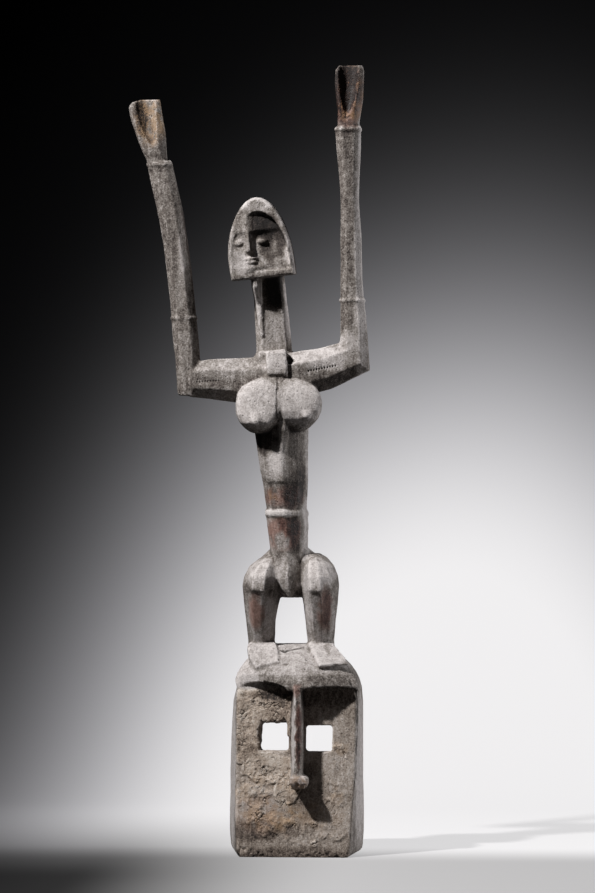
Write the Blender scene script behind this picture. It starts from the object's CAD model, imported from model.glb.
"""The look of a carved wooden mask with a standing figure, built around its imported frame.

The one piece of the object is made here again from its solid: remeshed, worn, cut and crusted
as the wood is, painted with soft masks, and dressed in one procedural wood. Sizes in the relief
and the masks are in millimetres, and Blender's own are in metres. +Z is up, the front faces -Y.
"""

from __future__ import annotations

import logging
import math
from dataclasses import dataclass, field
from enum import Enum
from typing import Iterable

import bmesh
import bpy
import numpy as np
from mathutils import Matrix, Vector
from mathutils.kdtree import KDTree

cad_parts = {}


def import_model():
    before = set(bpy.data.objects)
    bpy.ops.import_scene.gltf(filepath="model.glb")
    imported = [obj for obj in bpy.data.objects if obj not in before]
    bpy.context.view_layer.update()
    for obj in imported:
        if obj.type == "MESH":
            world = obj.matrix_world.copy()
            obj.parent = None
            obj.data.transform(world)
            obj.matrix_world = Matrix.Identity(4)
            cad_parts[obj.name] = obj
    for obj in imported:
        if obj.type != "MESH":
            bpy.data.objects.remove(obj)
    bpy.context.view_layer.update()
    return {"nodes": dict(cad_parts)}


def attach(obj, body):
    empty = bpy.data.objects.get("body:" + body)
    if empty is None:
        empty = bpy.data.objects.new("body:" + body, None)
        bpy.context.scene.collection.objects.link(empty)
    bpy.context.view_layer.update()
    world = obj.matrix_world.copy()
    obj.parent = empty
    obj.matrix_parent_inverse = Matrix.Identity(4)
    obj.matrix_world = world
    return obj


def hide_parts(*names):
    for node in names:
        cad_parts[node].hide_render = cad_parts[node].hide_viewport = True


LOG = logging.getLogger("carved_mask")
MM = 0.001
BLACK = (0.0, 0.0, 0.0, 1.0)
NODE = "satimbe_mask"
BODY = "root"
Point = tuple[float, float, float]


# Numbers on arrays of points


def smooth_step(values: np.ndarray, low: float, high: float) -> np.ndarray:
    """Eases from 0 at low to 1 at high.

    Args:
        values: Any numbers.
        low: Where the result leaves 0.
        high: Where the result reaches 1. It may be below low.

    Returns:
        The eased numbers, one for each value.
    """
    t = np.clip((values - low) / (high - low), 0.0, 1.0)
    return t * t * (3.0 - 2.0 * t)


@dataclass(frozen=True)
class Grit:
    """Repeatable noise on points in millimetres."""

    seed: int
    primes: tuple[int, int, int] = (73856093, 19349663, 83492791)
    seed_prime: int = 2654435761
    turn_step: int = 31
    stirs: tuple[tuple[int, int], ...] = ((15, 2246822519), (13, 3266489917))
    last_shift: int = 16
    word: int = 0xFFFFFFFF
    top: int = 0xFFFFFF

    def draw(self, x: np.ndarray, y: np.ndarray, z: np.ndarray, turn: int = 0) -> np.ndarray:
        """A fixed number from 0 to 1 for each whole-numbered lattice point."""
        mixed = (x * self.primes[0]) ^ (y * self.primes[1]) ^ (z * self.primes[2])
        mixed = mixed ^ ((self.seed + self.turn_step * turn) * self.seed_prime)
        mixed = (mixed & self.word).astype(np.uint64)
        for shift, factor in self.stirs:
            mixed = ((mixed ^ (mixed >> np.uint64(shift))) * np.uint64(factor)) & np.uint64(self.word)
        mixed = (mixed ^ (mixed >> np.uint64(self.last_shift))) & np.uint64(self.top)
        return mixed.astype(float) / self.top

    def waves(self, points: np.ndarray, size: float, turn: int = 0) -> np.ndarray:
        """Smooth lumps.

        Args:
            points: Places, one a row.
            size: The width of a lump.
            turn: Another number gives another pattern.

        Returns:
            A number from -1 to 1 for each place.
        """
        scaled = points / size
        whole = np.floor(scaled).astype(np.int64)
        part = scaled - whole
        part = part * part * (3.0 - 2.0 * part)
        total = np.zeros(len(points))
        for corner in range(8):
            step = ((corner >> 2) & 1, (corner >> 1) & 1, corner & 1)
            weight = np.ones(len(points))
            for axis in range(3):
                weight *= part[:, axis] if step[axis] else 1.0 - part[:, axis]
            lattice = [whole[:, axis] + step[axis] for axis in range(3)]
            total += weight * self.draw(*lattice, turn)
        return 2.0 * total - 1.0

    def layered(self, points: np.ndarray, size: float, layers: int, turn: int = 0) -> np.ndarray:
        """Lumps with smaller lumps on them.

        Args:
            points: Places, one a row.
            size: The width of the largest lump.
            layers: How many sizes there are, each half as wide and half as high as the last.
            turn: Another number gives another pattern.

        Returns:
            A number between about -1 and 1 for each place.
        """
        total = np.zeros(len(points))
        height = 1.0
        for layer in range(layers):
            total += height * self.waves(points, size / 2**layer, turn + 7 * layer)
            height *= 0.5
        return total / (2.0 - 2.0 * height)

    def plates(self, points: np.ndarray, size: float, turn: int = 0) -> tuple[np.ndarray, np.ndarray]:
        """Uneven plates, such as dried crust breaks into.

        Args:
            points: Places, one a row.
            size: The width of a plate.
            turn: Another number gives another pattern.

        Returns:
            How far each place is from the border of its plate in parts of a plate, and a number
            from 0 to 1 that is the same all over a plate.
        """
        scaled = points / size
        whole = np.floor(scaled).astype(np.int64)
        first = np.full(len(points), np.inf)
        second = np.full(len(points), np.inf)
        name = np.zeros(len(points))
        for corner in range(27):
            step = (corner // 9 - 1, corner // 3 % 3 - 1, corner % 3 - 1)
            lattice = [whole[:, axis] + step[axis] for axis in range(3)]
            far = np.zeros(len(points))
            for axis in range(3):
                middle = lattice[axis] + self.draw(*lattice, turn + axis + 1)
                far += (scaled[:, axis] - middle) ** 2
            far = np.sqrt(far)
            nearer = far < first
            second = np.where(nearer, first, np.minimum(second, far))
            name = np.where(nearer, self.draw(*lattice, turn + 5), name)
            first = np.where(nearer, far, first)
        return second - first, name

    def bent(self, points: np.ndarray, size: float, reach: float, turn: int = 0) -> np.ndarray:
        """Points moved about by up to reach in lumps of that size, which makes straight borders ragged."""
        moved = [self.layered(points, size, 2, turn + 11 * axis) for axis in range(3)]
        return points + reach * np.stack(moved, axis=1)


GRIT = Grit(seed=11)


@dataclass(frozen=True)
class Rise:
    """A soft step: 0 at low and its height at high, which may be below low."""

    low: float
    high: float
    height: float = 1.0

    def of(self, values: np.ndarray) -> np.ndarray:
        """The step's height at each value."""
        return self.height * smooth_step(values, self.low, self.high)


@dataclass(frozen=True)
class Lumps:
    """One layered noise: its height, the width of its largest lumps, its layers and its pattern."""

    height: float
    size: float
    layers: int
    turn: int

    def at(self, points: np.ndarray) -> np.ndarray:
        """The noise at each point."""
        return self.height * GRIT.layered(points, self.size, self.layers, self.turn)


@dataclass(frozen=True)
class Bend:
    """One way to make straight borders ragged: the width of its lumps, its reach and its pattern."""

    size: float
    reach: float
    turn: int

    def of(self, points: np.ndarray) -> np.ndarray:
        """The points, moved about."""
        return GRIT.bent(points, self.size, self.reach, self.turn)


# Places on the carving


@dataclass(frozen=True)
class Spot:
    """A soft egg-shaped place, in millimetres: full inside its core and gone at its rim."""

    middle: Point
    reach: Point
    strength: float = 1.0
    rim: float = 1.15
    core: float = 0.6

    def amount(self, points: np.ndarray) -> np.ndarray:
        """How much of each point lies in the place, from 0 to its strength."""
        away = np.linalg.norm((points - np.array(self.middle)) / np.array(self.reach), axis=1)
        return self.strength * smooth_step(away, self.rim, self.core)


def most(spots: Iterable[Spot], points: np.ndarray) -> np.ndarray:
    """The largest amount of any of the spots at each point."""
    total = np.zeros(len(points))
    for spot in spots:
        total = np.maximum(total, spot.amount(points))
    return total


@dataclass(frozen=True)
class Cut:
    """A crack or groove along a bent line, in millimetres. Depth through the wood hardly counts."""

    line: tuple[Point, ...]
    width: float
    depth: float
    wander: float = 1.0
    through: float = 0.25
    wander_size: float = 9.0
    wander_turn: int = 3
    heart: float = 0.25
    least_open: float = 0.55
    openness: Lumps = Lumps(1.0, 8.0, 2, 13)
    opening: Rise = Rise(-0.3, 0.2, 0.45)

    def amount(self, points: np.ndarray) -> np.ndarray:
        """How deep the cut is at each point, from 0 to 1 at its middle."""
        bent = GRIT.bent(points, self.wander_size, self.wander, self.wander_turn)
        weight = np.array((1.0, self.through, 1.0))
        nearest = np.full(len(points), np.inf)
        for start, end in zip(self.line, self.line[1:]):
            a = np.array(start) * weight
            b = np.array(end) * weight
            along = np.clip(((bent * weight - a) @ (b - a)) / ((b - a) @ (b - a)), 0.0, 1.0)
            away = bent * weight - a - along[:, None] * (b - a)
            nearest = np.minimum(nearest, np.linalg.norm(away, axis=1))
        open_part = self.least_open + self.opening.of(self.openness.at(points))
        return open_part * smooth_step(nearest, self.width, self.width * self.heart)


# The shape of the wood


@dataclass(frozen=True)
class FacePlate:
    """The flat front of the box mask, which leans forward towards the chin.

    Its soft border starts and ends so far past its top, and so far past its sides.
    """

    foot_y: float = -74.0
    top_y: float = -44.0
    height: float = 246.0
    half_width: float = 88.0
    middle_x: float = 1.0
    off_front: Rise = Rise(7.0, 4.0)
    top_border: tuple[float, float] = (2.0, -4.0)
    side_border: tuple[float, float] = (1.0, -3.0)

    def front(self, z: np.ndarray) -> np.ndarray:
        """The Y of the plate's front at each height."""
        return self.foot_y + (self.top_y - self.foot_y) * z / self.height

    def amount(self, points: np.ndarray) -> np.ndarray:
        """1 on the plate's front below the brow, 0 away from it."""
        x, y, z = points.T
        top, under_top = (self.height + past for past in self.top_border)
        side, inside = (self.half_width + past for past in self.side_border)
        amount = self.off_front.of(np.abs(y - self.front(z))) * smooth_step(z, top, under_top)
        return amount * smooth_step(np.abs(x - self.middle_x), side, inside)


@dataclass(frozen=True)
class Crust:
    """Dried, cracked crust on the face plate, thickest on its left side."""

    plate: FacePlate = FacePlate()
    thickness: float = 1.7
    crack_depth: float = 1.3
    coat: float = 0.55
    ragged: Bend = Bend(14.0, 6.0, 21)
    worn: Lumps = Lumps(0.3, 10.0, 3, 33)
    worn_away: float = 0.2
    kept: Rise = Rise(0.0, 0.5)
    squeeze: Point = (1.0, 0.35, 1.0)
    lumps: Lumps = Lumps(1.0, 17.0, 5, 71)
    thick_lift: float = 0.55
    flakes: tuple[Rise, ...] = (Rise(-0.16, -0.05, 0.55), Rise(0.05, 0.13, 0.5), Rise(0.26, 0.34, 0.45))
    crumbs: Lumps = Lumps(0.35, 3.4, 2, 77)
    plate_size: float = 8.5
    plate_turn: int = 51
    plate_bend: Bend = Bend(6.0, 3.8, 41)
    broken_lumps: Lumps = Lumps(1.0, 15.0, 2, 57)
    broken_share: float = 0.25
    broken: Rise = Rise(0.16, 0.5)
    crack_border: Rise = Rise(0.12, 0.02)
    crack_cover: Rise = Rise(0.25, 0.7)
    crack_shade: float = 0.75
    low: Rise = Rise(0.05, 0.35)
    low_shade: float = 0.22
    patches: tuple[Spot, ...] = (
        Spot((-68, -50, 214), (27, 30, 40), 1.0),
        Spot((-38, -48, 212), (30, 30, 20), 0.85),
        Spot((-72, -58, 165), (24, 30, 40), 0.85),
        Spot((-40, -60, 130), (46, 30, 28), 1.0),
        Spot((-10, -62, 104), (22, 30, 34), 1.0),
        Spot((-62, -64, 92), (34, 30, 30), 0.55),
        Spot((-8, -50, 205), (8, 20, 46), 0.7),
        Spot((-34, -70, 52), (50, 30, 28), 0.5),
        Spot((66, -56, 150), (20, 30, 34), 0.45),
        Spot((56, -66, 84), (30, 30, 34), 0.45),
        Spot((20, -70, 34), (70, 30, 24), 0.45),
    )

    def cover(self, points: np.ndarray) -> np.ndarray:
        """How much crust is left at each point, from bare wood at 0 to thick crust at 1."""
        amount = most(self.patches, self.ragged.of(points)) + self.worn.at(points) - self.worn_away
        return self.kept.of(amount) * self.plate.amount(points)

    def tint(self, points: np.ndarray) -> np.ndarray:
        """How earthy the colour is: full on the crust, and a thin coat on the rest of the plate."""
        coat = self.coat * self.plate.amount(points)
        return np.maximum(self.cover(points), coat)

    def relief(self, points: np.ndarray) -> tuple[np.ndarray, np.ndarray]:
        """The crust's height and its cracks.

        Args:
            points: Places on the surface.

        Returns:
            How far the surface rises, and how deep in a crack each place is, from 0 to 1.
        """
        cover = self.cover(points)
        flat = points * np.array(self.squeeze)
        lumps = self.lumps.at(flat) + self.thick_lift * (cover - 0.5)
        flakes = sum(step.of(lumps) for step in self.flakes)
        border, name = GRIT.plates(self.plate_bend.of(flat), self.plate_size, self.plate_turn)
        broken = self.broken.of(self.broken_lumps.at(flat) + self.broken_share * name)
        cracked = broken * self.crack_border.of(border) * self.crack_cover.of(cover)
        height = cover * (self.thickness * flakes + self.crumbs.at(points)) - self.crack_depth * cracked
        shade = self.low_shade * cover * self.low.of(-lumps)
        return height, np.maximum(self.crack_shade * cracked, shade)


@dataclass(frozen=True)
class HandWork:
    """The carver's marks, cracks and nicks, in millimetres.

    The floor of a broken hollow has waves of a height, a width and a pattern.
    """

    stretch: Point = (1.0, 1.0, 0.3)
    swell: Lumps = Lumps(0.5, 13.0, 3, 1)
    knife: Lumps = Lumps(0.2, 3.6, 2, 2)
    gouge: float = 1.0
    bulge_rounds: int = 10
    edge: Rise = Rise(0.25, 0.9, 1.1)
    chance: Lumps = Lumps(1.0, 7.0, 3, 4)
    chip: Rise = Rise(0.18, 0.45)
    broken_depth: float = 2.4
    broken: Rise = Rise(-0.15, 0.35)
    chip_bend: Bend = Bend(6.0, 4.0, 9)
    nick_reach: Point = (1.35, 7.0, 1.9)
    nick_depth: float = 1.4
    pit_size: float = 4.4
    pit_turn: int = 81
    pit_wall: Rise = Rise(0.22, 0.6)
    pit_share: Rise = Rise(0.62, 0.7)
    pit_bend: Bend = Bend(8.0, 4.0, 91)
    pit_depth: float = 1.3
    hollow_bend: Bend = Bend(5.0, 2.5, 8)
    hollow_depth: float = 0.8
    hollow_waves: tuple[float, float, int] = (0.3, 3.2, 12)
    cracks: tuple[Cut, ...] = (
        Cut(((-24, -28, 301), (-17, -28, 298.5), (-9, -29, 300.5), (10, -22, 304)), 2.0, 1.7, 2.2),
        Cut(((76, -62, 266), (88, -48, 240), (92.5, -44, 225), (92, -50, 180)), 2.0, 1.3, 1.6),
        Cut(((92, -50, 180), (91, -56, 140), (84, -66, 60), (81, -72, 10)), 2.0, 1.3, 1.6),
        Cut(((70, -22, 1084.5), (74, -22, 1082.5), (79, -22, 1085.5)), 1.8, 1.8, 0.3),
        Cut(((-26, -48, 701), (-26.5, -58, 676), (-26, -61, 655), (-25.5, -58, 641)), 1.6, 1.5, 0.6),
        Cut(((-36, -46, 935), (-23.5, -46, 920), (-9, -44, 890), (-4, -43, 864)), 3.4, 0.8, 0.4, 0.05),
        Cut(((93, 10, 235), (95, 12, 180), (93, 8, 120), (95, 14, 64)), 1.6, 1.8, 1.6, 1.0),
        Cut(((96, 40, 150), (97, 44, 90), (98, 42, 20)), 1.5, 1.6, 1.8, 1.0),
        Cut(((-97, 30, 200), (-99, 28, 130), (-98, 34, 60)), 1.6, 1.8, 1.8, 1.0),
        Cut(((-98, 58, 110), (-99, 56, 60), (-97, 55, 2)), 1.6, 2.0, 1.5, 1.0),
        Cut(((40, 70, 262), (44, 60, 276), (36, 40, 292)), 1.6, 1.5, 1.5, 1.0),
        Cut(((-30, 28, 470), (-28, 29, 560), (-33, 29, 640)), 1.6, 1.6, 1.6, 1.0),
        Cut(((-34, 18, 760), (-38, 19, 830)), 1.5, 1.5, 1.2, 1.0),
    )
    nick_rows: tuple[tuple[Point, Point, int, float], ...] = (
        ((19, -36, 711.0), (58, -29.5, 718.5), 11, 1.0),
        ((-146, -30, 695.0), (-114, -32, 696.5), 9, 0.55),
    )
    hollows: tuple[Spot, ...] = (
        Spot((-9.5, -34, 727), (7, 12, 9), 2.8),
        Spot((-11, -38, 712), (4, 9, 8), 1.6),
    )
    pitted: tuple[Spot, ...] = (
        Spot((18, -34, 296), (18, 30, 16), 1.0),
        Spot((22, -62, 272), (26, 24, 13), 0.9),
        Spot((-12, -30, 302), (16, 20, 9), 0.8),
        Spot((-14, -38, 722), (14, 14, 14), 0.8),
        Spot((2, -38, 632), (20, 16, 22), 0.7),
        Spot((60, -62, 262), (30, 24, 12), 0.5),
        Spot((-218, -20, 1076), (20, 12, 40), 0.6),
    )
    chipped: tuple[Spot, ...] = (
        Spot((-60, -74, 2), (48, 14, 12), 1.0),
        Spot((40, -74, 1), (50, 14, 8), 0.7),
        Spot((90, -60, 4), (16, 40, 14), 0.7),
        Spot((8, -92, 104), (14, 14, 8), 1.0),
        Spot((-20, -54, 284), (12, 14, 8), 0.7),
    )

    def nicks(self, points: np.ndarray) -> np.ndarray:
        """How deep each point is in one of the small nicks, from 0 to 1."""
        total = np.zeros(len(points))
        for start, end, count, strength in self.nick_rows:
            for i in range(count):
                middle = tuple(a + (b - a) * i / (count - 1) for a, b in zip(start, end))
                total = np.maximum(total, Spot(middle, self.nick_reach, strength).amount(points))
        return total

    def pits(self, points: np.ndarray) -> np.ndarray:
        """How deep each point is in one of the small pits, from 0 to 1."""
        border, name = GRIT.plates(points, self.pit_size, self.pit_turn)
        pit = self.pit_wall.of(border) * self.pit_share.of(name)
        return most(self.pitted, self.pit_bend.of(points)) * pit

    def worn(self, points: np.ndarray, bulge: np.ndarray) -> np.ndarray:
        """How far the surface moves for strokes, chipped edges and broken places.

        Args:
            points: Places on the surface.
            bulge: How far each lies outside the mean of those round it.

        Returns:
            The move outwards.
        """
        grain = points * np.array(self.stretch)
        height = self.swell.at(grain) + self.knife.at(grain)
        chance = self.chance.at(points)
        height -= self.edge.of(bulge) * self.chip.of(chance)
        broken = most(self.chipped, self.chip_bend.of(points))
        return height - self.broken_depth * broken * self.broken.of(chance)


@dataclass(frozen=True)
class Interior:
    """The hollow behind the face, left with its gouge marks, in millimetres.

    The rows of marks sway and lift by a reach, in waves of a width, each with its own pattern.
    """

    half_width: float = 84.0
    floor: float = 19.0
    roof: float = 268.0
    rim_y: float = 75.0
    side_margin: float = 4.0
    floor_margin: float = 2.0
    behind: Rise = Rise(10.0, 13.0)
    facing: Rise = Rise(-0.1, 0.3)
    facing_depth: float = 1.2
    gouge_width: float = 15.0
    gouge_stretch: float = 3.6
    sway: tuple[float, float, int] = (5.0, 46.0, 5)
    lift: tuple[float, float, int] = (9.0, 30.0, 6)

    def amount(self, points: np.ndarray, normals: np.ndarray) -> np.ndarray:
        """1 on the inner walls, 0 outside."""
        x, y, z = points.T
        behind = self.behind.of(y - FacePlate().front(z))
        facing = -normals[:, 0] * np.sign(x) + self.facing_depth * np.abs(normals[:, 1])
        inside = (np.abs(x) < self.half_width + self.side_margin) & (y < self.rim_y)
        inside &= (z > self.floor - self.floor_margin) & (z < self.roof)
        return behind * self.facing.of(facing) * inside

    def gouges(self, points: np.ndarray) -> np.ndarray:
        """Shallow scoops side by side, up and down the walls, from 0 in the middle to 1 at a ridge."""
        x, y, z = points.T
        sway, sway_size, sway_turn = self.sway
        lift, lift_size, lift_turn = self.lift
        run = (x + y + sway * GRIT.waves(points, sway_size, sway_turn)) / self.gouge_width
        rise = z + lift * GRIT.waves(points, lift_size, lift_turn)
        rise = rise / (self.gouge_width * self.gouge_stretch)
        run = run + 0.5 * (np.floor(rise) % 2)
        across = np.abs(run - np.floor(run) - 0.5) * 2.0
        along = np.abs(rise - np.floor(rise) - 0.5) * 2.0
        return np.maximum(across**2, along**4)


class Paint(Enum):
    """The masks that the wood's material reads, each an attribute of the mesh."""

    DUST = "dust"
    RUSSET = "russet"
    OCHRE = "ochre"
    SOOT = "soot"
    CRUST = "crust"
    CRACK = "crack"
    HOLLOW = "hollow"
    RIDGE = "ridge"


@dataclass(frozen=True)
class Weathering:
    """Where dust, handling, smoke and offerings have coloured the wood, in millimetres."""

    film: float = 0.5
    rubbed: float = 0.2
    ragged: Bend = Bend(11.0, 4.5, 101)
    cloud: Lumps = Lumps(1.0, 12.0, 4, 111)
    cloud_stretch: Point = (1.0, 1.0, 0.4)
    dust_cloud: float = 0.16
    dust_up: float = 0.13
    inner_dust: float = 0.18
    inner_change: float = 0.2
    soot_under: float = 0.12
    soot_cloud: float = 0.14
    inner_soot: float = 0.75
    inner_soot_cloud: float = 0.25
    hidden_red: Rise = Rise(0.8, 1.0, 0.8)
    red_cloud: float = 0.2
    red_off: float = 0.1
    ochre_share: float = 0.9
    ochre_cloud: float = 0.5
    most_soot: float = 2.0
    dusty: tuple[Spot, ...] = (
        Spot((-2, -20, 292), (98, 80, 40), 0.72),
        Spot((-80, -40, 258), (34, 64, 36), 1.0),
        Spot((46, -40, 294), (38, 40, 26), 0.95),
        Spot((-50, -40, 414), (36, 60, 26), 0.78),
        Spot((33, -40, 414), (36, 60, 26), 0.9),
        Spot((14, -36, 350), (15, 30, 50), 1.0),
        Spot((15, -42, 400), (18, 40, 24), 1.0),
        Spot((-38, -20, 345), (14, 34, 44), 1.0),
        Spot((34, -34, 340), (34, 40, 60), 0.84),
        Spot((-52, -36, 340), (30, 40, 60), 0.84),
        Spot((-12, -34, 410), (20, 24, 40), 0.5),
        Spot((-16, -32, 502), (46, 44, 6.4), 1.25),
        Spot((-30, -38, 580), (16, 24, 36), 1.0),
        Spot((-22, -30, 461), (15, 22, 16), 1.0),
        Spot((-24, -10, 590), (50, 60, 44), 0.6),
        Spot((-36, -24, 474), (14, 24, 36), 0.78),
        Spot((-42, -22, 530), (14, 24, 26), 0.3),
        Spot((-28, -34, 526), (10, 20, 18), 0.55),
        Spot((12, -6, 474), (12, 30, 60), 1.0),
        Spot((20, -2, 590), (11, 26, 70), 0.75),
        Spot((-57, -62, 662), (46, 44, 44), 0.95),
        Spot((8, -62, 662), (46, 44, 44), 0.95),
        Spot((-28, -36, 724), (26, 26, 24), 0.95),
        Spot((-95, -14, 714), (66, 36, 20), 0.48),
        Spot((-214, -16, 1086), (22, 36, 40), 0.25),
        Spot((-115, -14, 676), (50, 40, 14), 0.6),
        Spot((36, -14, 728), (62, 36, 22), 0.9),
        Spot((80, -14, 750), (26, 30, 28), 0.7),
        Spot((-37, -20, 765), (28, 36, 50), 0.62),
        Spot((-14, 0, 800), (9, 28, 70), 1.0),
        Spot((-56, -32, 812), (8, 20, 56), 1.0),
        Spot((-46, -10, 905), (60, 62, 68), 0.55),
        Spot((-82, -40, 890), (22, 40, 40), 0.35),
        Spot((-56, -40, 957), (32, 40, 17), 0.7),
        Spot((3, -40, 872), (10, 28, 32), 1.0),
        Spot((-8, -46, 890), (9, 20, 30), 0.9),
        Spot((-3, -40, 905), (11, 28, 26), 1.0),
        Spot((-20, -40, 938), (12, 28, 18), 1.0),
        Spot((-80, -42, 868), (26, 24, 24), 0.75),
        Spot((-163, -14, 740), (24, 30, 60), 0.2),
        Spot((-167, -14, 880), (12, 26, 90), 0.6),
        Spot((-1, -78, 178), (5, 28, 76), 1.2),
        Spot((9, -92, 111), (15, 22, 13), 0.7),
        Spot((-40, -60, 118), (50, 34, 46), 0.7),
        Spot((-64, -50, 205), (28, 34, 50), 0.5),
        Spot((56, -62, 120), (60, 34, 130), 0.55),
        Spot((-54, -66, 78), (50, 30, 50), 0.75),
        Spot((0, -74, 16), (90, 24, 18), 0.45),
        Spot((96, 6, 120), (15, 84, 150), 0.85),
        Spot((-98, -10, 120), (15, 96, 160), 1.0),
        Spot((95, -10, 900), (12, 34, 280), 1.0),
    )
    handled: tuple[Spot, ...] = (
        Spot((-20, -24, 474), (33, 44, 28), 0.95),
        Spot((-20, -24, 527), (36, 44, 18), 0.8),
        Spot((-60, -44, 350), (16, 26, 40), 1.0),
        Spot((45, -42, 348), (16, 28, 50), 0.85),
        Spot((8.5, -90, 180), (5, 16, 66), 1.0),
        Spot((3, -80, 243), (9, 10, 12), 0.8),
        Spot((8, -92, 110), (16, 20, 12), 0.35),
        Spot((78, -18, 1112), (24, 38, 52), 0.95),
        Spot((-52, -60, 60), (40, 20, 40), 0.35),
    )
    yellowed: tuple[Spot, ...] = (
        Spot((-214, -20, 1086), (26, 36, 46), 1.25),
        Spot((80, -18, 1116), (20, 36, 46), 1.0),
        Spot((74, -20, 1094), (11, 16, 16), 1.0),
        Spot((-60, -66, 92), (34, 20, 36), 0.7),
        Spot((-32, -70, 62), (52, 22, 26), 0.95),
        Spot((-8, -64, 106), (20, 20, 16), 0.5),
        Spot((66, -58, 160), (12, 14, 12), 0.6),
        Spot((60, -62, 92), (12, 14, 16), 0.6),
        Spot((40, -68, 58), (40, 20, 26), 0.35),
        Spot((8, -94, 110), (16, 18, 12), 0.85),
        Spot((-35, -36, 525), (9, 14, 14), 1.0),
        Spot((4, -34, 470), (7, 14, 14), 0.9),
        Spot((-52, -20, 870), (20, 30, 16), 0.25),
    )
    sooty: tuple[Spot, ...] = (
        Spot((0, -76, 4), (100, 26, 13), 0.85),
        Spot((26, -66, 100), (24, 18, 66), 0.7),
        Spot((-56, -74, 40), (46, 24, 20), 0.75),
        Spot((56, -66, 258), (40, 22, 11), 0.3),
        Spot((46, -34, 345), (8, 24, 54), 1.0),
        Spot((8, -26, 560), (12, 22, 70), 0.9),
        Spot((-6, -30, 526), (13, 24, 20), 0.9),
        Spot((40, -56, 230), (56, 30, 17), 0.6),
        Spot((-30, -56, 237), (60, 24, 9), 0.85),
        Spot((50, -14, 692), (66, 40, 20), 0.25),
        Spot((-3, -28, 598), (16, 22, 60), 0.75),
        Spot((1, -26, 474), (13, 26, 44), 0.8),
        Spot((82, -16, 960), (22, 40, 160), 0.1),
        Spot((-184, -4, 900), (20, 16, 160), 0.1),
        Spot((77, -14, 1130), (26, 30, 44), 1.1),
        Spot((61, -16, 1122), (9, 34, 50), 1.3),
        Spot((-228, -26, 1088), (10, 24, 34), 1.1),
        Spot((6, -20, 410), (18, 44, 30), 0.3),
        Spot((-40, -20, 400), (14, 40, 24), 0.2),
        Spot((9, -92, 180), (5, 12, 66), 0.9),
        Spot((8, -97, 103), (16, 12, 7), 0.4),
        Spot((-47, -36, 925), (27, 26, 22), 2.2),
        Spot((-44, -30, 900), (15, 24, 30), 1.7),
        Spot((-36, -28, 874), (13, 22, 20), 1.4),
        Spot((-22, -32, 898), (14, 14, 38), 1.5),
        Spot((-31, -17, 832), (20, 15, 34), 1.6),
        Spot((-46, -34, 606), (24, 24, 20), 1.5),
    )

    def masks(self, points: np.ndarray, normals: np.ndarray, inside: np.ndarray) -> dict[Paint, np.ndarray]:
        """The soft masks of the wood's colours.

        Args:
            points: Places on the surface.
            normals: Which way the surface faces at each.
            inside: 1 in the hollow of the mask, 0 elsewhere.

        Returns:
            A number for each place, for each kind of colour: from 0 to 1, and soot up to 2.
        """
        ragged = self.ragged.of(points)
        cloud = self.cloud.at(points * np.array(self.cloud_stretch))
        up = np.clip(normals[:, 2], -1.0, 1.0)
        settled = most(self.dusty, ragged)
        handled = most(self.handled, ragged)
        dust = self.film + settled * (1.0 - self.film) + self.dust_cloud * cloud + self.dust_up * up
        dust -= self.rubbed * handled
        dust = np.where(inside > 0.5, self.inner_dust + self.inner_change * (cloud + up), dust)
        soot = most(self.sooty, ragged) + self.soot_under * np.clip(-up, 0.0, 1.0)
        soot = soot + self.soot_cloud * cloud
        soot = np.maximum(soot, (self.inner_soot + self.inner_soot_cloud * cloud) * inside)
        red = (1.0 - self.hidden_red.of(settled)) * handled + self.red_cloud * cloud - self.red_off
        ochre = most(self.yellowed, ragged) * (self.ochre_share + self.ochre_cloud * cloud)
        return {
            Paint.DUST: np.clip(dust, 0.0, 1.0),
            Paint.RUSSET: np.clip(red, 0.0, 1.0),
            Paint.OCHRE: np.clip(ochre, 0.0, 1.0),
            Paint.SOOT: np.clip(soot, 0.0, self.most_soot),
        }


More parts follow.
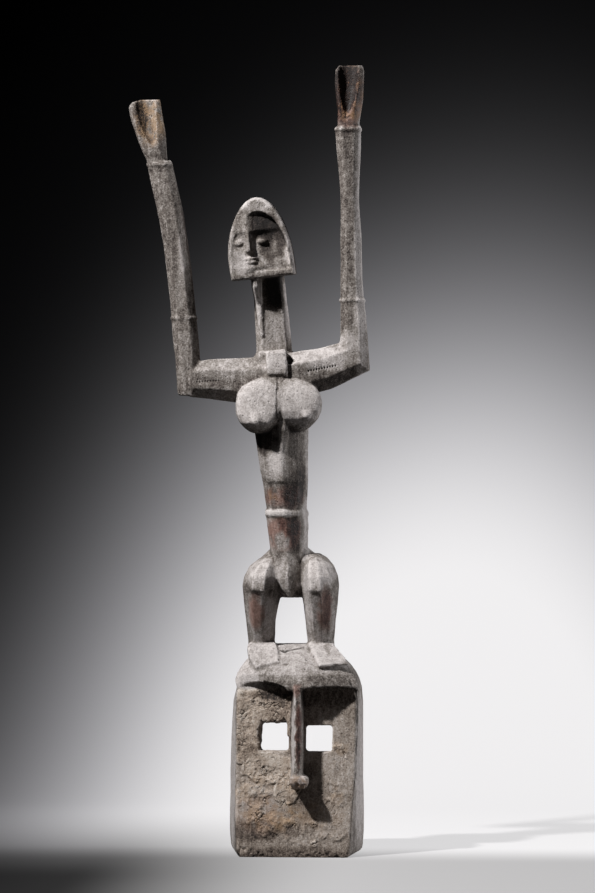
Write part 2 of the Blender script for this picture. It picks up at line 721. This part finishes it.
@dataclass
class CarvedMask:
    """The one piece of the object, carved from a single block. Sizes in millimetres."""

    source: bpy.types.Object
    name: str = "carved_mask"
    voxel: float = 1.75
    soften_rounds: int = 1
    triangles: int = 188_000
    joined: float = 0.001
    flat_below: float = 0.6
    fine_above: float = 4.0
    fine_depth: float = 5.0
    fine_facing: float = -0.6
    under_below: float = 1.0
    under_facing: float = -0.8
    wide_rounds: int = 9
    fine_rounds: int = 2
    crack_shades: tuple[float, float] = (0.9, 0.85)
    crack_hollows: Rise = Rise(0.8, 2.6)
    wide_hollow: Rise = Rise(0.05, 0.7)
    fine_hollow: Rise = Rise(0.03, 0.2, 0.6)
    wide_ridge: Rise = Rise(0.15, 0.9)
    fine_ridge: Rise = Rise(0.04, 0.2, 0.4)
    fine_boxes: tuple[tuple[float, float, float, float, float], ...] = (
        (-92.0, 0.0, -33.0, 852.0, 950.0),
        (12.0, 66.0, -24.0, 706.0, 724.0),
        (-150.0, -110.0, -26.0, 690.0, 702.0),
    )
    crust: Crust = field(default_factory=Crust)
    work: HandWork = field(default_factory=HandWork)
    interior: Interior = field(default_factory=Interior)
    weather: Weathering = field(default_factory=Weathering)
    piece: bpy.types.Object | None = None

    def build(self) -> bpy.types.Object:
        """Makes the piece's mesh, with its relief and its masks.

        Returns:
            The finished object, at the origin.
        """
        self.piece = self.start()
        self.remesh()
        self.refine()
        dense = self.read()
        dense = self.soften(dense)
        normals = self.normals(dense)
        lines = self.carve(dense, normals)
        self.thin_out()
        self.paint(dense, lines)
        return self.piece

    def start(self) -> bpy.types.Object:
        """A copy of the solid with its loose triangles joined."""
        mesh = self.source.data.copy()
        mesh.name = self.name
        shell = bmesh.new()
        shell.from_mesh(mesh)
        bmesh.ops.remove_doubles(shell, verts=shell.verts, dist=self.joined * MM)
        shell.to_mesh(mesh)
        shell.free()
        mesh.materials.clear()
        copy = bpy.data.objects.new(self.name, mesh)
        bpy.context.scene.collection.objects.link(copy)
        return copy

    def finish_modifiers(self) -> None:
        """Replaces the piece's mesh by what its modifiers make of it."""
        graph = bpy.context.evaluated_depsgraph_get()
        made = bpy.data.meshes.new_from_object(self.piece.evaluated_get(graph))
        old = self.piece.data
        self.piece.modifiers.clear()
        self.piece.data = made
        bpy.data.meshes.remove(old)
        made.name = self.name

    def remesh(self) -> None:
        """Gives the piece an even mesh of small squares, which rounds every edge a little."""
        even = self.piece.modifiers.new("even_squares", "REMESH")
        even.mode = "VOXEL"
        even.voxel_size = self.voxel * MM
        even.adaptivity = 0.0
        self.finish_modifiers()

    def is_fine(self, face: bmesh.types.BMFace) -> bool:
        """Whether a face lies where the finest relief is."""
        x, y, z = face.calc_center_median() / MM
        plate = self.crust.plate
        if abs(x) < plate.half_width and self.fine_above < z < plate.height:
            return face.normal.y < self.fine_facing and abs(y - plate.front(z)) < self.fine_depth
        return any(
            x0 < x < x1 and y < back and z0 < z < z1
            for x0, x1, back, z0, z1 in self.fine_boxes
        )

    def refine(self) -> None:
        """Halves the squares where the finest relief is."""
        shell = bmesh.new()
        shell.from_mesh(self.piece.data)
        chosen = [face for face in shell.faces if self.is_fine(face)]
        edges = list({edge for face in chosen for edge in face.edges})
        bmesh.ops.subdivide_edges(shell, edges=edges, cuts=1, use_grid_fill=True)
        bmesh.ops.triangulate(shell, faces=[f for f in shell.faces if len(f.verts) > 4])
        shell.to_mesh(self.piece.data)
        shell.free()

    def read(self) -> np.ndarray:
        """The places of the mesh's vertices, in millimetres."""
        vertices = self.piece.data.vertices
        flat = np.empty(len(vertices) * 3)
        vertices.foreach_get("co", flat)
        return flat.reshape(-1, 3) / MM

    def write(self, points: np.ndarray) -> None:
        """Moves the mesh's vertices to places in millimetres."""
        self.piece.data.vertices.foreach_set("co", (points * MM).ravel())
        self.piece.data.update()

    def normals(self, points: np.ndarray) -> np.ndarray:
        """Moves the vertices there and gives the way that each one faces."""
        self.write(points)
        flat = np.empty(len(points) * 3)
        self.piece.data.vertex_normals.foreach_get("vector", flat)
        return flat.reshape(-1, 3)

    def averages(self, values: np.ndarray, rounds: int) -> np.ndarray:
        """Blurs values over the surface.

        Args:
            values: One number or one point for each vertex.
            rounds: How many times each takes the mean of itself and its neighbours.

        Returns:
            The blurred values.
        """
        mesh = self.piece.data
        pairs = np.empty(len(mesh.edges) * 2, dtype=np.int64)
        mesh.edges.foreach_get("vertices", pairs)
        first, second = pairs.reshape(-1, 2).T
        count = len(values)
        shares = np.bincount(first, minlength=count) + np.bincount(second, minlength=count)
        columns = values.reshape(count, -1)
        for _ in range(rounds):
            sums = np.stack([
                np.bincount(first, column[second], count) + np.bincount(second, column[first], count)
                for column in columns.T
            ], axis=1)
            columns = 0.5 * columns + 0.5 * sums / shares[:, None]
        return columns.reshape(values.shape)

    def soften(self, points: np.ndarray) -> np.ndarray:
        """Takes the steps of the remesh out and keeps the underside flat."""
        smooth = self.averages(points, self.soften_rounds)
        smooth[points[:, 2] < self.flat_below, 2] = 0.0
        return smooth

    def carve(self, points: np.ndarray, normals: np.ndarray) -> dict[Paint, np.ndarray]:
        """Moves the surface in and out for wear, knife marks, cracks and crust.

        Args:
            points: Places of the vertices.
            normals: Which way each faces.

        Returns:
            The masks that come from the relief itself.
        """
        work = self.work
        inside = self.interior.amount(points, normals)
        bulge = self.outside(points, normals, work.bulge_rounds)
        height = work.worn(points, bulge)
        height -= inside * work.gouge * (1.0 - self.interior.gouges(points))
        crust, crack = self.crust.relief(points)
        height += crust
        for cut in work.cracks:
            depth = cut.amount(points)
            height -= cut.depth * depth
            crack = np.maximum(crack, depth)
        nicks = work.nicks(points)
        pits = work.pits(points)
        hollows = most(work.hollows, work.hollow_bend.of(points))
        rough, rough_size, rough_turn = work.hollow_waves
        hollow_depth = work.hollow_depth + rough * GRIT.waves(points, rough_size, rough_turn)
        height -= work.nick_depth * nicks + work.pit_depth * pits + hollows * hollow_depth
        nick_shade, pit_shade = self.crack_shades
        crack = np.maximum(crack, np.maximum(nick_shade * nicks, pit_shade * pits))
        crack = np.maximum(crack, self.crack_hollows.of(hollows))
        underside = (points[:, 2] < self.under_below) & (normals[:, 2] < self.under_facing)
        height[underside] = 0.0
        moved = points + normals * height[:, None]
        moved[:, 2] = np.maximum(moved[:, 2], 0.0)
        moved[underside, 2] = 0.0
        self.write(moved)
        points[:] = moved
        wide = self.outside(moved, normals, self.wide_rounds)
        fine = self.outside(moved, normals, self.fine_rounds)
        hollow = self.wide_hollow.of(-wide) + self.fine_hollow.of(-fine)
        ridge = self.wide_ridge.of(wide) + self.fine_ridge.of(fine)
        return {
            Paint.CRUST: self.crust.tint(points),
            Paint.CRACK: np.clip(crack, 0.0, 1.0),
            Paint.HOLLOW: np.clip(hollow, 0.0, 1.0),
            Paint.RIDGE: np.clip(ridge, 0.0, 1.0),
        }

    def outside(self, points: np.ndarray, normals: np.ndarray, rounds: int) -> np.ndarray:
        """How far each vertex lies outside the mean of those round it.

        Args:
            points: Places of the vertices.
            normals: Which way each faces.
            rounds: How wide the mean reaches.

        Returns:
            The distances, which are below 0 in a dent.
        """
        return ((points - self.averages(points, rounds)) * normals).sum(axis=1)

    def thin_out(self) -> None:
        """Takes triangles away where the surface is plain, down to the piece's limit."""
        shell = bmesh.new()
        shell.from_mesh(self.piece.data)
        bmesh.ops.triangulate(shell, faces=shell.faces)
        shell.to_mesh(self.piece.data)
        shell.free()
        fewer = self.piece.modifiers.new("fewer_triangles", "DECIMATE")
        fewer.ratio = min(1.0, self.triangles / len(self.piece.data.polygons))
        self.finish_modifiers()
        self.piece.data.shade_smooth()

    def paint(self, dense: np.ndarray, lines: dict[Paint, np.ndarray]) -> None:
        """Stores the masks on the finished mesh.

        Args:
            dense: The places of the vertices before the mesh was thinned out.
            lines: The masks of the relief at those places.
        """
        tree = KDTree(len(dense))
        for i, place in enumerate(dense):
            tree.insert(place, i)
        tree.balance()
        points = self.read()
        nearest = np.array([tree.find(place)[1] for place in points])
        normals = self.normals(points)
        inside = self.interior.amount(points, normals)
        masks = self.weather.masks(points, normals, inside)
        masks.update({kind: values[nearest] for kind, values in lines.items()})
        for kind, values in masks.items():
            layer = self.piece.data.attributes.new(kind.value, "FLOAT", "POINT")
            layer.data.foreach_set("value", values.astype(np.float32))


# Materials


class Desk:
    """Places and joins the nodes of one node tree."""

    def __init__(self, tree: bpy.types.NodeTree) -> None:
        """Args: tree: The tree that the nodes go into."""
        self.tree = tree

    def add(self, kind: str, **settings: object) -> bpy.types.Node:
        """A new node of that kind, with its settings."""
        node = self.tree.nodes.new(kind)
        for name, value in settings.items():
            setattr(node, name, value)
        return node

    def feed(self, socket: bpy.types.NodeSocket, value: object) -> None:
        """Joins a socket to another, or sets it to a plain value."""
        if isinstance(value, bpy.types.NodeSocket):
            self.tree.links.new(value, socket)
        else:
            socket.default_value = value

    def sum(self, operation: str, *values: object, clamp: bool = False) -> bpy.types.NodeSocket:
        """The result of a Math node."""
        node = self.add("ShaderNodeMath", operation=operation, use_clamp=clamp)
        for socket, value in zip(node.inputs, values):
            self.feed(socket, value)
        return node.outputs[0]

    def ease(self, value: object, low: object, high: object, top: float = 1.0) -> bpy.types.NodeSocket:
        """A number eased from 0 at low to top at high."""
        node = self.add("ShaderNodeMapRange", interpolation_type="SMOOTHSTEP")
        for name, given in (("Value", value), ("From Min", low), ("From Max", high), ("To Max", top)):
            self.feed(node.inputs[name], given)
        return node.outputs[0]

    def mix(self, amount: object, under: object, over: object, way: str = "MIX") -> bpy.types.NodeSocket:
        """Two colours mixed by an amount."""
        node = self.add("ShaderNodeMix", data_type="RGBA", blend_type=way)
        for index, value in ((0, amount), (6, under), (7, over)):
            self.feed(node.inputs[index], value)
        return node.outputs[2]

    def ramp(self, value: object, stops: tuple) -> bpy.types.NodeSocket:
        """A number turned into a colour, through stops of a place and a colour each."""
        node = self.add("ShaderNodeValToRGB")
        line = node.color_ramp.elements
        line[0].position, line[0].color = stops[0]
        line[1].position, line[1].color = stops[-1]
        for place, colour in stops[1:-1]:
            line.new(place).color = colour
        self.feed(node.inputs[0], value)
        return node.outputs[0]

    def noise(
        self, where: object, scale: object, detail: float = 3.0, rough: float = 0.55
    ) -> bpy.types.NodeSocket:
        """A noise texture's number, at so many lumps a metre."""
        node = self.add("ShaderNodeTexNoise")
        self.feed(node.inputs["Vector"], where)
        self.feed(node.inputs["Scale"], scale)
        node.inputs["Detail"].default_value = detail
        node.inputs["Roughness"].default_value = rough
        return node.outputs["Fac"]

    def stretched(self, where: object, scale: Point) -> bpy.types.NodeSocket:
        """Places with each axis scaled on its own."""
        node = self.add("ShaderNodeMapping")
        self.feed(node.inputs["Vector"], where)
        node.inputs["Scale"].default_value = scale
        return node.outputs[0]

    def mask(self, kind: Paint) -> bpy.types.NodeSocket:
        """One of the masks painted on the mesh."""
        return self.add("ShaderNodeAttribute", attribute_name=kind.value).outputs["Fac"]

    def use(self, group: bpy.types.NodeTree, **values: object) -> bpy.types.Node:
        """A node that holds a group, with its inputs fed."""
        node = self.add("ShaderNodeGroup", node_tree=group)
        for name, value in values.items():
            self.feed(node.inputs[name], value)
        return node


@dataclass(frozen=True)
class Effect:
    """A node group that the wood uses several times: its name, its inputs and its outputs."""

    name: str
    inputs: tuple[tuple[str, str, object], ...]
    outputs: tuple[str, ...]

    def open(self) -> tuple[Desk, bpy.types.Node, bpy.types.Node]:
        """Makes the empty group.

        Returns:
            Its desk, the node of its inputs and the node of its outputs.
        """
        tree = bpy.data.node_groups.new(self.name, "ShaderNodeTree")
        for name, kind, value in self.inputs:
            socket = tree.interface.new_socket(name=name, in_out="INPUT", socket_type=f"NodeSocket{kind}")
            if value is not None:
                socket.default_value = value
        for name in self.outputs:
            tree.interface.new_socket(name=name, in_out="OUTPUT", socket_type="NodeSocketFloat")
        desk = Desk(tree)
        return desk, desk.add("NodeGroupInput"), desk.add("NodeGroupOutput")


def speckle_group() -> bpy.types.NodeTree:
    """Dust in the pores: fine, middling and coarse flecks round a mean of about 0."""
    effect = Effect("dusty_speckle", (("Where", "Vector", None),), ("Value",))
    desk, given, out = effect.open()
    total = 0.0
    for lumps_a_metre, roughness, share in ((430.0, 0.7, 1.9), (130.0, 0.62, 1.2), (38.0, 0.55, 0.3)):
        flecks = desk.noise(given.outputs["Where"], lumps_a_metre, 3.0, roughness)
        total = desk.sum("MULTIPLY_ADD", flecks, share, total)
    mean = 1.7
    desk.feed(out.inputs["Value"], desk.sum("SUBTRACT", total, mean))
    return desk.tree


def grain_group() -> bpy.types.NodeTree:
    """Wood grain that runs up and down: soft streaks, and thin dark pores."""
    effect = Effect(
        "upright_grain",
        (("Where", "Vector", None), ("Fineness", "Float", 240.0)),
        ("Streak", "Pore"),
    )
    desk, given, out = effect.open()
    lengthwise = (1.0, 1.0, 0.07)
    pores_to_streaks = 3.1
    where = desk.stretched(given.outputs["Where"], lengthwise)
    streak = desk.noise(where, given.outputs["Fineness"], 4.0, 0.6)
    thin = desk.noise(where, desk.sum("MULTIPLY", given.outputs["Fineness"], pores_to_streaks), 2.0, 0.5)
    desk.feed(out.inputs["Streak"], streak)
    desk.feed(out.inputs["Pore"], desk.ease(thin, 0.62, 0.75))
    return desk.tree


def pit_group() -> bpy.types.NodeTree:
    """Tiny round pits, such as insects and wear leave."""
    effect = Effect(
        "tiny_pits",
        (("Where", "Vector", None), ("Closeness", "Float", 260.0), ("Share", "Float", 0.3)),
        ("Mask",),
    )
    desk, given, out = effect.open()
    cells = desk.add("ShaderNodeTexVoronoi", feature="F1")
    desk.feed(cells.inputs["Vector"], given.outputs["Where"])
    desk.feed(cells.inputs["Scale"], given.outputs["Closeness"])
    shade = desk.add("ShaderNodeSeparateColor")
    desk.feed(shade.inputs[0], cells.outputs["Color"])
    chosen = desk.sum("LESS_THAN", shade.outputs[0], given.outputs["Share"])
    rim, core = 0.42, 0.2
    round_pit = desk.ease(cells.outputs["Distance"], rim, core)
    desk.feed(out.inputs["Mask"], desk.sum("MULTIPLY", chosen, round_pit))
    return desk.tree


@dataclass(frozen=True)
class WeatheredWood:
    """The one finish of the carving: dark wood under dust, crust, handling and smoke.

    Each list of tones runs from the bare and dark to the thickly dusted.
    """

    wood: tuple = (
        (0.0, (0.014, 0.011, 0.010, 1)),
        (0.22, (0.042, 0.032, 0.028, 1)),
        (0.45, (0.120, 0.100, 0.088, 1)),
        (0.66, (0.235, 0.209, 0.189, 1)),
        (0.84, (0.38, 0.343, 0.328, 1)),
        (1.0, (0.56, 0.516, 0.498, 1)),
    )
    earth: tuple = (
        (0.0, (0.020, 0.014, 0.011, 1)),
        (0.25, (0.087, 0.061, 0.046, 1)),
        (0.5, (0.245, 0.187, 0.145, 1)),
        (0.75, (0.43, 0.348, 0.282, 1)),
        (1.0, (0.60, 0.535, 0.47, 1)),
    )
    rust: tuple = (
        (0.0, (0.018, 0.010, 0.008, 1)),
        (0.25, (0.080, 0.035, 0.028, 1)),
        (0.5, (0.18, 0.093, 0.073, 1)),
        (0.75, (0.30, 0.178, 0.145, 1)),
        (1.0, (0.45, 0.345, 0.315, 1)),
    )
    ochre: tuple = (0.37, 0.225, 0.112, 1)
    grime: tuple = (0.018, 0.014, 0.012, 1)
    least_tone: float = 0.06
    tone_shares: tuple[tuple[Paint, float], ...] = (
        (Paint.DUST, 0.86),
        (Paint.SOOT, -0.34),
        (Paint.RIDGE, 0.2),
        (Paint.HOLLOW, -0.16),
    )
    speckle: float = 1.0
    speckle_shares: tuple[tuple[Paint, float], ...] = ((Paint.DUST, -0.62), (Paint.RUSSET, -0.3))
    streak: float = 0.85
    streak_dust: float = -0.5
    crust_share: float = 0.88
    red_patches: tuple[float, float] = (0.26, 0.5)
    ochre_patches: tuple[float, float, float] = (0.36, 0.6, 0.85)
    ochre_tones: tuple[float, float] = (0.02, 0.35)
    ochre_stain: float = 0.62
    pit_dark: float = 0.52
    pit_dust: float = -0.42
    crack_dark: float = 0.8
    roughness: float = 0.72
    rough_russet: float = -0.25
    rough_tone: float = 0.24
    shine: float = 0.3
    grain_scale: float = 230.0
    pit_scale: float = 290.0
    pit_share: float = 0.2
    mottle_scale: float = 70.0
    grit_scale: float = 480.0
    bump: float = 0.8

    def make(self) -> bpy.types.Material:
        """Builds the material.

        Returns:
            A material that reads the masks painted on the mesh.
        """
        material = bpy.data.materials.new("weathered_wood")
        material.use_nodes = True
        desk = Desk(material.node_tree)
        shader = material.node_tree.nodes["Principled BSDF"]
        where = desk.add("ShaderNodeTexCoord").outputs["Object"]
        mask = {kind: desk.mask(kind) for kind in Paint}
        grain = desk.use(grain_group(), Where=where, Fineness=self.grain_scale)
        speckle = desk.use(speckle_group(), Where=where).outputs["Value"]
        pits = desk.use(pit_group(), Where=where, Closeness=self.pit_scale, Share=self.pit_share)
        pits = pits.outputs["Mask"]
        mottle = desk.noise(where, self.mottle_scale, 4.0, 0.6)

        tone = self.least_tone
        for kind, share in self.tone_shares:
            tone = desk.sum("MULTIPLY_ADD", mask[kind], share, tone)
        speckled = self.speckle
        for kind, share in self.speckle_shares:
            speckled = desk.sum("MULTIPLY_ADD", mask[kind], share, speckled)
        tone = desk.sum("MULTIPLY_ADD", speckle, speckled, tone)
        streaked = desk.sum("MULTIPLY_ADD", mask[Paint.DUST], self.streak_dust, self.streak)
        streaks = desk.sum("SUBTRACT", grain.outputs["Streak"], 0.5)
        tone = desk.sum("ADD", tone, desk.sum("MULTIPLY", streaks, streaked), clamp=True)

        colour = desk.ramp(tone, self.wood)
        crusted = desk.sum("MULTIPLY", mask[Paint.CRUST], self.crust_share)
        colour = desk.mix(crusted, colour, desk.ramp(tone, self.earth))
        red = desk.sum("MULTIPLY", mask[Paint.RUSSET], desk.ease(mottle, *self.red_patches))
        colour = desk.mix(red, colour, desk.ramp(tone, self.rust))
        yellow = desk.sum("MULTIPLY", mask[Paint.OCHRE], desk.ease(mottle, *self.ochre_patches))
        yellow = desk.sum("MULTIPLY", yellow, desk.ease(tone, *self.ochre_tones))
        colour = desk.mix(yellow, colour, desk.mix(self.ochre_stain, colour, self.ochre))
        pitted = desk.sum("MULTIPLY_ADD", mask[Paint.DUST], self.pit_dust, self.pit_dark)
        pitted = desk.sum("MULTIPLY", pits, pitted)
        grime = desk.sum("MULTIPLY_ADD", mask[Paint.CRACK], self.crack_dark, pitted, clamp=True)
        colour = desk.mix(grime, colour, self.grime)
        desk.feed(shader.inputs["Base Color"], colour)

        rough = desk.sum("MULTIPLY_ADD", mask[Paint.RUSSET], self.rough_russet, self.roughness)
        rough = desk.sum("MULTIPLY_ADD", tone, self.rough_tone, rough, clamp=True)
        desk.feed(shader.inputs["Roughness"], rough)
        shader.inputs["Specular IOR Level"].default_value = self.shine

        height = 0.0
        for relief, share in (
            (desk.noise(where, self.grit_scale, 4.0, 0.65), 0.55),
            (mottle, 0.5),
            (speckle, 0.38),
            (grain.outputs["Streak"], 0.3),
            (pits, -0.8),
            (grain.outputs["Pore"], -0.25),
        ):
            height = desk.sum("MULTIPLY_ADD", relief, share, height)
        bump = desk.add("ShaderNodeBump")
        bump.inputs["Strength"].default_value = self.bump
        bump.inputs["Distance"].default_value = 1.0 * MM
        desk.feed(bump.inputs["Height"], height)
        desk.feed(shader.inputs["Normal"], bump.outputs["Normal"])
        return material


# The studio


@dataclass(frozen=True)
class Viewpoint:
    """The photograph's camera: level with the middle of the mask and a little to its right."""

    frame_height: int = 893
    focal_pixels: float = 4265.0
    distance: float = 6.3
    height: float = 0.6
    turn: float = math.radians(4.0)
    sensor: float = 36.0
    farthest: float = 60.0

    def place(self) -> bpy.types.Object:
        """Makes the camera and looks through it."""
        data = bpy.data.cameras.new("photograph_view")
        data.sensor_fit = "VERTICAL"
        data.sensor_height = self.sensor
        data.lens = self.focal_pixels * self.sensor / self.frame_height
        data.clip_end = self.farthest
        camera = bpy.data.objects.new("photograph_view", data)
        across = self.distance * math.sin(self.turn)
        back = -self.distance * math.cos(self.turn)
        camera.location = (across, back, self.height)
        camera.rotation_euler = (math.pi / 2, 0.0, self.turn)
        bpy.context.scene.collection.objects.link(camera)
        bpy.context.scene.camera = camera
        return camera


@dataclass(frozen=True)
class SoftLamp:
    """A studio light with a soft front. Azimuth 0 is in front of the mask, +90 to its right."""

    name: str
    azimuth: float
    elevation: float
    distance: float
    size: tuple[float, float]
    watts: float
    target: Point = (0.0, 0.0, 0.55)
    colour: Point = (1.0, 1.0, 1.0)

    def place(self) -> bpy.types.Object:
        """Hangs the light and turns it to its target."""
        data = bpy.data.lights.new(self.name, "AREA")
        data.shape = "RECTANGLE"
        data.size, data.size_y = self.size
        data.energy = self.watts
        data.color = self.colour
        lamp = bpy.data.objects.new(self.name, data)
        turn = math.radians(self.azimuth)
        rise = math.radians(self.elevation)
        way = Vector((math.sin(turn) * math.cos(rise), -math.cos(turn) * math.cos(rise), math.sin(rise)))
        lamp.location = Vector(self.target) + way * self.distance
        lamp.rotation_euler = way.to_track_quat("Z", "Y").to_euler()
        lamp.visible_camera = False
        bpy.context.scene.collection.objects.link(lamp)
        return lamp


@dataclass(frozen=True)
class Sweep:
    """A pale floor that bends up into a backdrop, which glows low on the right and fades to dark.

    Sizes are in metres. It can be seen from its front only, so it never hides the mask.
    """

    half_width: float = 14.0
    near: float = -14.0
    bend: float = 0.8
    radius: float = 1.2
    top: float = 5.0
    bend_steps: int = 32
    tone: tuple = (0.24, 0.235, 0.235, 1)
    glow: tuple = (1.0, 0.99, 1.0, 1)
    dim_glow: tuple = (0.93, 0.92, 1.0, 1)
    glow_middle: Point = (0.13, 0.0, -0.097)
    glow_turn: float = 0.187
    glow_reach: Point = (1.488, 1000.0, 2.137)
    glow_heart: float = 0.196
    glow_power: float = 5.56
    glow_strength: float = 0.645
    haze: float = 0.012
    haze_power: float = 0.71
    lit_power: float = 4.0
    near_left: float = 0.94
    near_left_y: tuple[float, float] = (0.8, -0.4)
    near_left_x: tuple[float, float] = (0.1, -0.3)
    near_glow: float = 0.42
    near_glow_y: tuple[float, float] = (-0.14, 0.12)
    spill: float = 0.4

    def build(self) -> bpy.types.Object:
        """Makes the sweep.

        Returns:
            The floor and backdrop as one object, which is declared as the stage.
        """
        shell = bmesh.new()
        profile = [(self.near, 0.0)]
        for i in range(self.bend_steps + 1):
            angle = math.pi / 2 * i / self.bend_steps
            profile.append((self.bend + self.radius * math.sin(angle), self.radius * (1 - math.cos(angle))))
        profile.append((self.bend + self.radius, self.top))
        row = [shell.verts.new((-self.half_width, y, z)) for y, z in profile]
        edges = [shell.edges.new(pair) for pair in zip(row, row[1:])]
        made = bmesh.ops.extrude_edge_only(shell, edges=edges)["geom"]
        moved = [item for item in made if isinstance(item, bmesh.types.BMVert)]
        bmesh.ops.translate(shell, verts=moved, vec=(2 * self.half_width, 0.0, 0.0))
        shell.normal_update()
        if shell.faces[:][0].normal.z < 0.0:
            bmesh.ops.reverse_faces(shell, faces=shell.faces)
        mesh = bpy.data.meshes.new("pale_floor")
        shell.to_mesh(mesh)
        shell.free()
        mesh.shade_smooth()
        floor = bpy.data.objects.new("pale_floor", mesh)
        bpy.context.scene.collection.objects.link(floor)
        mesh.materials.append(self.paper())
        return floor

    def paper(self) -> bpy.types.Material:
        """The matt paper of the sweep, lit from behind, and clear from its back."""
        material = bpy.data.materials.new("pale_paper")
        material.use_nodes = True
        desk = Desk(material.node_tree)
        shader = material.node_tree.nodes["Principled BSDF"]
        shader.inputs["Roughness"].default_value = 0.9
        shader.inputs["Specular IOR Level"].default_value = 0.0
        where = desk.add("ShaderNodeTexCoord").outputs["Object"]
        egg = desk.add("ShaderNodeMapping", vector_type="TEXTURE")
        desk.feed(egg.inputs["Vector"], where)
        egg.inputs["Location"].default_value = self.glow_middle
        egg.inputs["Rotation"].default_value = (0.0, self.glow_turn, 0.0)
        egg.inputs["Scale"].default_value = self.glow_reach
        far = desk.add("ShaderNodeVectorMath", operation="LENGTH")
        desk.feed(far.inputs[0], egg.outputs[0])
        reach = desk.ease(far.outputs["Value"], 1.0, self.glow_heart)
        fade = desk.sum("POWER", reach, self.glow_power)
        haze = desk.sum("POWER", reach, self.haze_power)
        seen = desk.add("ShaderNodeLightPath").outputs["Is Camera Ray"]
        seen = desk.sum("MULTIPLY_ADD", seen, 1.0 - self.spill, self.spill)
        place = desk.add("ShaderNodeSeparateXYZ")
        desk.feed(place.inputs[0], where)
        corner = desk.sum("MULTIPLY", desk.ease(place.outputs["Y"], *self.near_left_y), self.near_left)
        corner = desk.sum("MULTIPLY", corner, desk.ease(place.outputs["X"], *self.near_left_x))
        seen = desk.sum("MULTIPLY", seen, desk.sum("SUBTRACT", 1.0, corner))
        lit = desk.sum("MULTIPLY", desk.sum("POWER", reach, self.lit_power), seen)
        desk.feed(shader.inputs["Base Color"], desk.mix(lit, BLACK, self.tone))
        behind = desk.ease(place.outputs["Y"], *self.near_glow_y, 1.0 - self.near_glow)
        glow = desk.sum("MULTIPLY_ADD", haze, self.haze, fade)
        glow = desk.sum("MULTIPLY", glow, desk.sum("ADD", behind, self.near_glow))
        glow = desk.sum("MULTIPLY", glow, seen)
        tint = desk.mix(fade, self.dim_glow, self.glow)
        desk.feed(shader.inputs["Emission Color"], desk.mix(glow, BLACK, tint))
        shader.inputs["Emission Strength"].default_value = self.glow_strength
        back = desk.add("ShaderNodeNewGeometry").outputs["Backfacing"]
        clear = desk.add("ShaderNodeBsdfTransparent")
        both = desk.add("ShaderNodeMixShader")
        desk.feed(both.inputs[0], back)
        desk.feed(both.inputs[1], shader.outputs[0])
        desk.feed(both.inputs[2], clear.outputs[0])
        desk.feed(material.node_tree.nodes["Material Output"].inputs["Surface"], both.outputs[0])
        return material


@dataclass(frozen=True)
class Studio:
    """The floor, the lights and the faint light of the room."""

    room: tuple = (0.5, 0.5, 0.55, 1)
    room_strength: float = 0.035
    lamps: tuple[SoftLamp, ...] = (
        SoftLamp("key", -46.5, 46.0, 3.4, (0.17, 0.17), 178.0, (0.0, 0.0, 0.55)),
        SoftLamp("side", 101.0, 6.0, 2.8, (0.5, 1.6), 52.0, (0.0, 0.0, 0.5), (0.97, 0.98, 1.0)),
    )

    def build(self) -> None:
        """Sets the stage."""
        world = bpy.data.worlds.new("room")
        world.use_nodes = True
        sky = world.node_tree.nodes["Background"]
        sky.inputs[0].default_value = self.room
        sky.inputs[1].default_value = self.room_strength
        bpy.context.scene.world = world
        bpy.context.scene.view_settings.view_transform = "Standard"
        Sweep().build()
        for lamp in self.lamps:
            lamp.place()


def main() -> None:
    """Builds the studio and the object, piece by piece."""
    logging.basicConfig(level=logging.INFO, format="%(name)s: %(message)s")
    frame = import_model()
    Viewpoint().place()
    Studio().build()
    mask = CarvedMask(source=frame["nodes"][NODE])
    piece = mask.build()
    piece.data.materials.append(WeatheredWood().make())
    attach(piece, BODY)
    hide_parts(NODE)
    LOG.info("%s: %d triangles", piece.name, len(piece.data.polygons))


if __name__ == "__main__":
    main()
